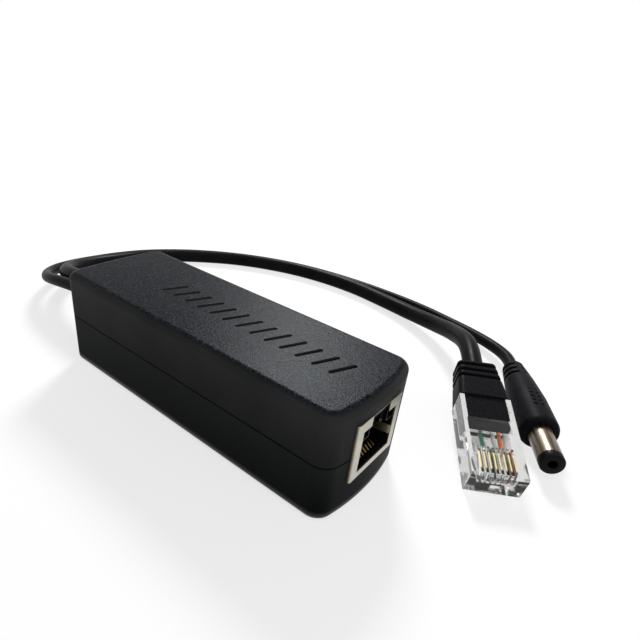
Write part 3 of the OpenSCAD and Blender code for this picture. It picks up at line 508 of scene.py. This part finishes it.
def soften(piece, width=0.0, steps=2, angle=30.0):
    """Rounds a piece's edges and smooths its shading between the sharp ones."""
    if width:
        bevel = piece.modifiers.new("edges", "BEVEL")
        bevel.width, bevel.segments = width * MM, steps
        bevel.limit_method, bevel.angle_limit = "ANGLE", math.radians(angle)
        bevel.use_clamp_overlap = True
        plain_mesh(piece)
    for polygon in piece.data.polygons:
        polygon.use_smooth = True
    piece.data.set_sharp_from_angle(angle=math.radians(40 if width else angle))
    weigh = piece.modifiers.new("weigh", "WEIGHTED_NORMAL")
    weigh.keep_sharp = True
    return plain_mesh(piece)


def merged_copy(node):
    """A copy of a CAD node whose loose triangles are joined up."""
    mesh = bmesh.new()
    mesh.from_mesh(nodes[node].data)
    bmesh.ops.remove_doubles(mesh, verts=mesh.verts, dist=0.002 * MM)
    bmesh.ops.dissolve_limit(mesh, angle_limit=math.radians(1.0), verts=mesh.verts, edges=mesh.edges)
    data = bpy.data.meshes.new(node + "_fine")
    mesh.to_mesh(data)
    mesh.free()
    return link(node + "_fine", data)


def moved(piece, place):
    """Places a mesh that was made in a plug's own frame."""
    piece.data.transform(Matrix.Scale(MM, 4) @ place @ Matrix.Scale(1 / MM, 4))
    return piece


def finish_piece(piece, slot, *replaced):
    """Gives a piece its material, attaches it to the root, and hides the CAD nodes that it replaces."""
    piece.data.materials.clear()
    piece.data.materials.append(MATERIALS[slot])
    if piece.type == "MESH":
        for polygon in piece.data.polygons:
            polygon.material_index = 0
    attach(piece, "root")
    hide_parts(*replaced)
    return piece


# Geometry node trees for what repeats

def repeat_tree(name, inputs, build):
    """Group whose one input mesh is repeated by build, then realised and given its material."""
    tree = bpy.data.node_groups.new(name, "GeometryNodeTree")
    tree.interface.new_socket("Geometry", in_out="INPUT", socket_type="NodeSocketGeometry")
    for label, kind, value in inputs:
        socket = tree.interface.new_socket(label, in_out="INPUT", socket_type="NodeSocket" + kind)
        if value is not None:
            socket.default_value = value
    tree.interface.new_socket("Geometry", in_out="OUTPUT", socket_type="NodeSocketGeometry")
    entry, leave = tree.nodes.new("NodeGroupInput"), tree.nodes.new("NodeGroupOutput")

    def add(kind, settings=None, sockets=None, out=0):
        made = tree.nodes.new(kind)
        for key, value in (settings or {}).items():
            setattr(made, key, value)
        for key, value in (sockets or {}).items():
            if isinstance(value, bpy.types.NodeSocket):
                tree.links.new(value, made.inputs[key])
            else:
                made.inputs[key].default_value = value
        return made.outputs[out]

    shape = build(add, entry.outputs)
    real = add("GeometryNodeRealizeInstances", {}, {0: shape})
    coated = add("GeometryNodeSetMaterial", {}, {"Geometry": real, "Material": entry.outputs["Material"]})
    tree.links.new(coated, leave.inputs[0])
    return tree


def grown(piece, tree, values):
    """Runs a tree on a piece with the named inputs, and keeps the result as its mesh."""
    modifier = piece.modifiers.new("grow", "NODES")
    modifier.node_group = tree
    for item in tree.interface.items_tree:
        if item.in_out == "INPUT" and item.name in values:
            modifier[item.identifier] = values[item.name]
    return plain_mesh(piece)


def row_tree():
    """The input mesh, repeated along a straight row."""
    def build(add, given):
        line = add("GeometryNodeMeshLine", {"mode": "OFFSET"},
                   {"Count": given["Count"], "Start Location": given["Start"], "Offset": given["Step"]})
        return add("GeometryNodeInstanceOnPoints", {}, {"Points": line, "Instance": given["Geometry"]})
    return repeat_tree("row", [("Count", "Int", 1), ("Start", "Vector", None), ("Step", "Vector", None),
                               ("Material", "Material", None)], build)


ROW = row_tree()


def in_a_row(piece, count, start, step, material=None):
    return grown(piece, ROW, {"Count": count, "Start": [c * MM for c in start],
                              "Step": [c * MM for c in step], "Material": material})


# Leads

def smooth_route(points, start_dir, end_dir, steps=6):
    """Curve through the points of a route, leaving and arriving along the given directions."""
    points = [Vector(p) for p in points]
    first = points[0] - Vector(start_dir) * (points[1] - points[0]).length
    after = points[-1] + Vector(end_dir) * (points[-1] - points[-2]).length
    line = [first, *points, after]
    out = []
    for a, b, c, d in zip(line, line[1:], line[2:], line[3:]):
        for i in range(steps):
            t = i / steps
            out.append(0.5 * (2 * b + (c - a) * t + (2 * a - 5 * b + 4 * c - d) * t * t
                              + (3 * b - a - 3 * c + d) * t ** 3))
    return [*out, points[-1]]


def make_lead(name, route, start_dir, end_dir, diameter):
    line = smooth_route(route, start_dir, end_dir)
    data = bpy.data.curves.new(name, "CURVE")
    data.dimensions = "3D"
    data.bevel_depth, data.bevel_resolution = diameter / 2 * MM, 7
    data.use_fill_caps = True
    spline = data.splines.new("POLY")
    spline.points.add(len(line) - 1)
    for point, place in zip(spline.points, line):
        point.co = (*(place * MM), 1)
    lead = link(name, data)
    return lead, sum((b - a).length for a, b in zip(line, line[1:])) * MM


plug_dir = -(PLUG_PLACE.to_3x3() @ Vector((1, 0, 0)))
power_dir = -(POWER_PLACE.to_3x3() @ Vector((1, 0, 0)))
net_lead, net_length = make_lead("network_lead", NET_ROUTE, (-1, 0, 0), plug_dir, NET_LEAD_D)
power_lead, power_length = make_lead("power_lead_jacket", POWER_ROUTE, (-1, 0, 0), power_dir,
                                     POWER_LEAD_D)
finish_piece(net_lead, "lead_jacket", "net_lead")
finish_piece(power_lead, "lead_jacket", "power_lead")


# Housing

def arc(cx, cy, r, start, end, steps):
    turns = (start + (end - start) * i / steps for i in range(steps + 1))
    return [(cx + r * math.cos(a), cy + r * math.sin(a)) for a in turns]


def end_outline(bow, corner_r, inset):
    """Half of the housing's outline, round the end at +X, moved inwards by inset."""
    bow_r = ((HOUSING_W / 2) ** 2 + bow ** 2) / (2 * bow) - inset
    r = max(corner_r - inset, 0.3)
    bow_x = HOUSING_LEN / 2 - inset - bow_r
    corner_y = HOUSING_W / 2 - inset - r
    corner_x = bow_x + math.sqrt((bow_r - r) ** 2 - corner_y ** 2)
    meet = math.atan2(corner_y, corner_x - bow_x)
    return (arc(corner_x, -corner_y, r, -math.pi / 2, -meet, 14)
            + arc(bow_x, 0, bow_r, -meet, meet, 24)[1:-1]
            + arc(corner_x, corner_y, r, meet, math.pi / 2, 14))


def housing_ring(inset, z):
    rear = end_outline(REAR_BOW, REAR_CORNER_R, inset)
    return [(x, y, z) for x, y in end_outline(FRONT_BOW, FRONT_CORNER_R, inset)
            + [(-x, y) for x, y in reversed(rear)]]


def jack_window():
    return block("window", (JACK_FACE - WALL - FRONT_BOW - 1, -JACK_W / 2 - FIT_GAP, BOARD_TOP - FIT_GAP),
                 (JACK_FACE + 1, JACK_W / 2 + FIT_GAP, BOARD_TOP + JACK_H + FIT_GAP))


def lead_holes():
    exits = ((NET_ROUTE[0], NET_LEAD_D), (POWER_ROUTE[0], POWER_LEAD_D))
    turn = Matrix.Identity(4)
    return [lathe("hole", [(-44, 0), (-44, d / 2 + FIT_GAP), (-39.5, d / 2 + FIT_GAP), (-39.5, 0)],
                  turn @ Matrix.Translation((0, p[1], p[2])), 48) for p, d in exits]


GROOVES, GROOVE_FROM, GROOVE_STEP = 13, -16.4, 4.1


def top_grooves():
    """Row of short slanted grooves, a plain pattern over the middle of the top."""
    half, r, steps = 2.8, 0.55, 8
    turns = [math.pi * i / steps for i in range(steps + 1)]
    ring = ([(r * math.cos(a), half + r * math.sin(a)) for a in turns]
            + [(-r * math.cos(a), -half - r * math.sin(a)) for a in turns])
    pill = loft("groove", [[(x * s, y, z) for x, y in ring]
                           for z, s in ((HOUSING_H - 0.5, 0.8), (HOUSING_H + 0.5, 1.1))],
                Matrix.Rotation(math.radians(-22), 4, "Z"))
    return in_a_row(pill, GROOVES, (GROOVE_FROM, 0, 0), (GROOVE_STEP, 0, 0))


def make_upper_shell():
    r, steps = TOP_EDGE_R, 10
    turns = [math.pi / 2 * i / steps for i in range(steps + 1)]
    rings = ([(SEAM_BEVEL, SPLIT_H), (0.06, SPLIT_H + SEAM_BEVEL * 0.4), (0, SPLIT_H + SEAM_BEVEL)]
             + [(r - r * math.cos(a), HOUSING_H - r + r * math.sin(a)) for a in turns])
    skin = loft("shell_top", [housing_ring(*ring) for ring in rings])
    room = loft("room", [housing_ring(WALL, SPLIT_H - 1), housing_ring(WALL, HOUSING_H - WALL)])
    carve(skin, [room, jack_window(), *lead_holes(), top_grooves()])
    soften(skin, 0.07, 2, 35)
    return finish_piece(skin, "housing", "upper_shell")


def make_lower_shell():
    r, steps = BOTTOM_EDGE_R, 10
    turns = [math.pi / 2 * i / steps for i in range(steps + 1)]
    rings = ([(r - r * math.sin(a), r - r * math.cos(a)) for a in turns]
             + [(0, SPLIT_H - SEAM_BEVEL), (0.06, SPLIT_H - SEAM_BEVEL * 0.4), (SEAM_BEVEL, SPLIT_H)])
    skin = loft("shell_base", [housing_ring(*ring) for ring in rings])
    room = loft("room", [housing_ring(WALL, WALL), housing_ring(WALL, SPLIT_H + 1)])
    lip = loft("lip", [housing_ring(WALL - 0.8, SPLIT_H - 1), housing_ring(WALL - 0.8, SPLIT_H + 1.5)])
    carve(lip, [loft("room", [housing_ring(WALL, SPLIT_H - 2), housing_ring(WALL, SPLIT_H + 3)])])
    carve(skin, [room])
    carve(skin, [], [lip])
    carve(skin, [jack_window(), *lead_holes()])
    soften(skin, 0.07, 2, 35)
    return finish_piece(skin, "housing", "lower_shell")


make_upper_shell()
make_lower_shell()


# Network plug's boot and the power plug

PLUG_LEN, BOOT_LEN, TONGUE_LEN = 21.5, 12.0, 9.5
BOOT_W, BOOT_REAR_W, BOOT_T, BOOT_REAR_T = 11.8, 9.4, 7.4, 6.4
TONGUE_W, TONGUE_T, CORE_AXIS = 9.28, 4.0, 3.6
PLUG_T, LID_LEN, LID_DROP = 6.6, 6.5, 0.1


def boot_ring(s, cut, steps=8):
    """Rounded section of the boot at a distance behind the plug, less a groove's depth."""
    share = s / BOOT_LEN
    w = BOOT_W + (BOOT_REAR_W - BOOT_W) * share - 2 * cut
    t = BOOT_T + (BOOT_REAR_T - BOOT_T) * share - 2 * cut
    r = 1.3
    ring = []
    for side_y, side_z, start in ((1, 1, 0), (-1, 1, 1), (-1, -1, 2), (1, -1, 3)):
        for i in range(steps + 1):
            a = math.pi / 2 * (start + i / steps)
            ring.append((PLUG_LEN + s, side_y * (w / 2 - r) + r * math.cos(a),
                         LEAD_AXIS + side_z * (t / 2 - r) + r * math.sin(a)))
    return ring


def make_boot():
    profile = [(0.02, 0.12), (0.14, 0.0), (4.5, 0.0)]
    for start in (6.1, 8.1, 10.1):
        profile += [(start - 0.12, 0.0), (start, 0.1), (start + 0.08, 0.72), (start + 0.2, 0.8),
                    (start + 0.7, 0.8), (start + 0.82, 0.72), (start + 0.9, 0.1), (start + 1.02, 0.0)]
    profile += [(BOOT_LEN - 0.45, 0.0), (BOOT_LEN - 0.25, 0.06), (BOOT_LEN - 0.08, 0.22), (BOOT_LEN, 0.45)]
    boot = loft("boot", [boot_ring(*ring) for ring in profile], PLUG_PLACE)
    half, front = TONGUE_W / 2, PLUG_LEN - TONGUE_LEN
    outline = [(front, -half + 1.2), (front + 1.2, -half), (PLUG_LEN + 0.5, -half),
               (PLUG_LEN + 0.5, half), (front + 1.2, half), (front, half - 1.2)]
    tongue = loft("tongue", [[(x, y, CORE_AXIS + side * TONGUE_T / 2) for x, y in outline]
                             for side in (-1, 1)], PLUG_PLACE)
    lid_from, lid_top = PLUG_LEN - LID_LEN, PLUG_T - LID_DROP
    lid = block("lid", (lid_from, -half, CORE_AXIS), (PLUG_LEN + 0.5, half, lid_top), PLUG_PLACE)
    lower = block("step", (front - 1, -half - 1, CORE_AXIS + 1.5), (lid_from - 0.4, half + 1, lid_top),
                  PLUG_PLACE)
    carve(tongue, [lower], [lid])
    edge = block("edge", (PLUG_LEN - 0.22, -half - 1, lid_top - 0.3),
                 (PLUG_LEN - 0.05, half + 1, lid_top + 1), PLUG_PLACE)
    slit = block("slit", (lid_from + 2.1, -0.8, lid_top - 0.6),
                 (lid_from + 2.7, 0.9, lid_top + 1), PLUG_PLACE)
    carve(tongue, [slit, edge])
    carve(boot, [], [tongue])
    soften(boot, 0.06, 2, 40)
    return finish_piece(boot, "moulded_boot", "plug_boot")


PINS, PITCH, BLADE_W, SLOT_END = 8, 1.02, 0.42, 7.2


def over_pins(piece):
    """Repeats a mesh over the plug's contacts, and places it with the plug."""
    row = in_a_row(piece, PINS, (0, -(PINS - 1) / 2 * PITCH, 0), (0, PITCH, 0))
    return moved(row, PLUG_PLACE)


def make_plug_body():
    plug = merged_copy("plug_body")
    half = BLADE_W / 2 + 0.06
    slot = block("slot", (0.7, -half, PLUG_T - 2.2), (SLOT_END, half, PLUG_T + 1))
    ribs = [block("rib", (x, low, PLUG_T - deep), (x + wide, high, PLUG_T + 1), PLUG_PLACE)
            for x, wide, deep, low, high in ((8.05, 0.3, 0.5, -1.3, 4.5), (10.9, 0.18, 0.3, -4.6, 4.6),
                                             (9.7, 0.12, 0.15, 0.4, 4.5), (13.2, 0.16, 0.25, -4.2, 4.2))]
    carve(plug, [over_pins(slot), *ribs])
    return finish_piece(soften(plug, 0.1, 2, 40), "clear_plastic", "plug_body")


def make_blades():
    top = PLUG_T - 0.25
    outline = [(0.95, 4.45), (0.95, 5.4), (1.4, 5.65), (1.9, top - 0.15), (2.1, top), (6.0, top),
               (6.12, top - 0.1), (6.2, 5.9), (7.0, 5.8), (7.0, 5.0), (6.1, 4.45)]
    blade = loft("blades", [[(x, y, z) for x, z in outline] for y in (-BLADE_W / 2, BLADE_W / 2)])
    blades = soften(over_pins(blade), 0.03, 2, 40)
    finish_piece(blades, "gold_contacts", "plug_contacts")
    blades.data.materials[0] = gold_finish("blade_gold", PLUG_PLACE)
    return blades


SLEEVE_LEN, SLEEVE_R, SLEEVE_T, TIP_LEN, BORE_R = 10.5, 2.75, 0.35, 1.8, 1.05
NECK_LEN, NECK_R, SOCKET_R = 6.0, 2.35, 1.3
GRIP_LEN, GRIP_R, GRIP_REAR_R, RELIEF_LEN, RELIEF_R = 21.0, 4.6, 3.8, 9.0, 2.8
RELIEF_GROOVE_W, RELIEF_PITCH, RELIEF_DEPTH = 1.2, 2.6, 1.2


def scoop(name, long_r, short_r, turn, x, y, z):
    """Small oval cutter, at a place in the power plug's frame."""
    steps = [math.pi * i / 8 for i in range(9)]
    place = Matrix.Translation((x, y, z)) @ Matrix.Rotation(turn, 4, "Z") @ Matrix.Diagonal((1, 1, 0.8, 1))
    return lathe(name, [(-long_r * math.cos(a), short_r * math.sin(a)) for a in steps], place, 16)


def make_grip():
    rear = SLEEVE_LEN + GRIP_LEN
    end = rear + RELIEF_LEN
    bore, neck_end = NECK_R + 0.05, SLEEVE_LEN + NECK_LEN
    profile = [(SLEEVE_LEN, SLEEVE_R + 0.05), (SLEEVE_LEN, GRIP_R - 0.9), (SLEEVE_LEN + 0.1, GRIP_R - 0.6),
               (SLEEVE_LEN + 0.4, GRIP_R - 0.25), (SLEEVE_LEN + 1, GRIP_R - 0.03),
               (SLEEVE_LEN + 1.6, GRIP_R), (SLEEVE_LEN + GRIP_LEN * 0.55, GRIP_R - 0.1),
               (rear - 4, GRIP_REAR_R + 0.3), (rear, GRIP_REAR_R), (end - 0.5, RELIEF_R + 0.05),
               (end - 0.15, RELIEF_R - 0.12), (end, RELIEF_R - 0.4), (end, 0), (neck_end, 0),
               (neck_end, bore), (SLEEVE_LEN + 0.3, bore), (SLEEVE_LEN + 0.3, SLEEVE_R + 0.05)]
    grip = lathe("grip", profile, POWER_PLACE, 112)
    cutters = []
    for g in range(3):
        x = rear + 1.2 + g * RELIEF_PITCH
        share = (1.2 + RELIEF_GROOVE_W / 2 + g * RELIEF_PITCH) / RELIEF_LEN
        core = GRIP_REAR_R + (RELIEF_R - GRIP_REAR_R) * share - RELIEF_DEPTH
        for side in (-1, 1):
            groove = block("groove", (x, min(side * 0.7, side * 5), -5),
                           (x + RELIEF_GROOVE_W, max(side * 0.7, side * 5), 5), POWER_PLACE)
            carve(groove, [lathe("core", [(x - 1, 0), (x - 1, core), (x + 3, core), (x + 3, 0)],
                                 POWER_PLACE, 64)])
            cutters.append(groove)
    for side in (-1, 1):
        notch = scoop("notch", 0.62, 0.62, 0, 0, side * (GRIP_R + 0.15), 0)
        cutters.append(moved(in_a_row(notch, 5, (SLEEVE_LEN + 4.4, 0, 0), (1.8, 0, 0)), POWER_PLACE))
        dimple = scoop("dimple", 0.6, 0.4, side * math.radians(62), 0, side * 0.85, GRIP_R - 0.1)
        cutters.append(moved(in_a_row(dimple, 5, (SLEEVE_LEN + 6.2, 0, 0), (1.7, 0, 0)), POWER_PLACE))
    carve(grip, cutters)
    soften(grip, 0.06, 2, 40)
    return finish_piece(grip, "moulded_boot", "power_plug_grip")


def make_power_tip():
    inner, tail = SLEEVE_R - SLEEVE_T, SLEEVE_LEN - SLEEVE_T
    tip = lathe("tip", [(0, BORE_R + 0.12), (0, SLEEVE_R - 0.45), (0.12, SLEEVE_R - 0.14), (0.4, SLEEVE_R),
                        (TIP_LEN, SLEEVE_R), (TIP_LEN, inner), (tail, inner), (tail, SOCKET_R),
                        (TIP_LEN, SOCKET_R), (TIP_LEN, BORE_R), (0.12, BORE_R)], POWER_PLACE)
    finish_piece(soften(tip, 0, 2, 30), "jack_plastic", "power_plug_tip")
    neck_end = SLEEVE_LEN + NECK_LEN
    sleeve = lathe("sleeve", [(TIP_LEN, inner), (TIP_LEN, SLEEVE_R - 0.1), (TIP_LEN + 0.1, SLEEVE_R),
                              (SLEEVE_LEN, SLEEVE_R), (SLEEVE_LEN, NECK_R), (neck_end, NECK_R),
                              (neck_end, NECK_R - SLEEVE_T), (tail, NECK_R - SLEEVE_T), (tail, inner)],
                   POWER_PLACE)
    finish_piece(soften(sleeve, 0, 2, 30), "nickel", "power_plug_sleeve")


boot = make_boot()
grip = make_grip()
make_power_tip()

plug = make_plug_body()
blades = make_blades()


def make_shield():
    """The jack's shield, whose latch opening reaches up to the edge of its top."""
    notch = block("notch", (JACK_FACE - 0.35, -LATCH_GAP_W / 2, BOARD_TOP + JACK_H - 1.6),
                  (JACK_FACE + 1, LATCH_GAP_W / 2, BOARD_TOP + JACK_H - 0.1))
    shield = carve(merged_copy("jack_shield"), [notch])
    return finish_piece(soften(shield, 0.05, 2, 30), "tinned_sheet", "jack_shield")


make_shield()


# Solids that keep their shape get their finish
for row in frame["record"]["subparts"]:
    node = nodes[row["node"]]
    if not node.hide_render:
        node.data.materials.clear()
        node.data.materials.append(MATERIALS[row["material_slot"]])


# Stage and light

def make_stage():
    """Pale floor that the camera, metal and glass see nearly white, with its shadows near the part."""
    f = Finish("floor", Roughness=0.9)
    cloud = f.grain(0.01, 2.0)
    f.colour(f.blend(cloud, (0.85, 0.85, 0.85), (0.87, 0.87, 0.87)))
    away = f.node("ShaderNodeVectorMath", {"operation": "LENGTH"}, {0: f.place}, "Value")
    glow = f.node("ShaderNodeEmission", {}, {"Color": (1, 1, 1, 1), "Strength": 1.0})
    mixed = f.node("ShaderNodeMixShader", {}, {0: f.seen() * (0.68 + away * 0.8),
                                               1: Value(f, f.shader.outputs[0]), 2: glow})
    f.link(mixed, "Material Output", 0)
    data = bpy.data.meshes.new("floor")
    data.from_pydata([(-3, -3, 0), (3, -3, 0), (3, 3, 0), (-3, 3, 0)], [], [(0, 1, 2, 3)])
    floor = link("floor", data)
    floor.data.materials.append(f.material)

    world = bpy.data.worlds.new("backdrop")
    bpy.context.scene.world = world
    world.use_nodes = True
    sky = Nodes(world.node_tree)
    light = sky.node("ShaderNodeBackground", {}, {"Color": (0.95, 0.97, 1.0, 1), "Strength": 0.2})
    white = sky.node("ShaderNodeBackground", {}, {"Color": (1, 1, 1, 1), "Strength": 1.0})
    sky.link(sky.node("ShaderNodeMixShader", {}, {0: sky.seen(), 1: light, 2: white}), "World Output", 0)


def lamp(name, place, aim, size, power):
    data = bpy.data.lights.new(name, "AREA")
    data.shape, data.size, data.energy = "DISK", size, power
    piece = bpy.data.objects.new(name, data)
    bpy.context.scene.collection.objects.link(piece)
    piece.location = place
    piece.rotation_euler = (Vector(aim) - Vector(place)).to_track_quat("-Z", "Y").to_euler()


make_stage()
lamp("back", (-0.280, 0.43, 0.45), (0.02, 0, 0.025), 0.16, 5.4)
lamp("above", (0.15, -0.25, 0.9), (0, 0.02, 0), 0.6, 1.6)
lamp("side", (0.7, -0.05, 0.4), (0.03, 0.02, 0.01), 0.5, 1.6)

bpy.context.scene.view_settings.view_transform = "Standard"
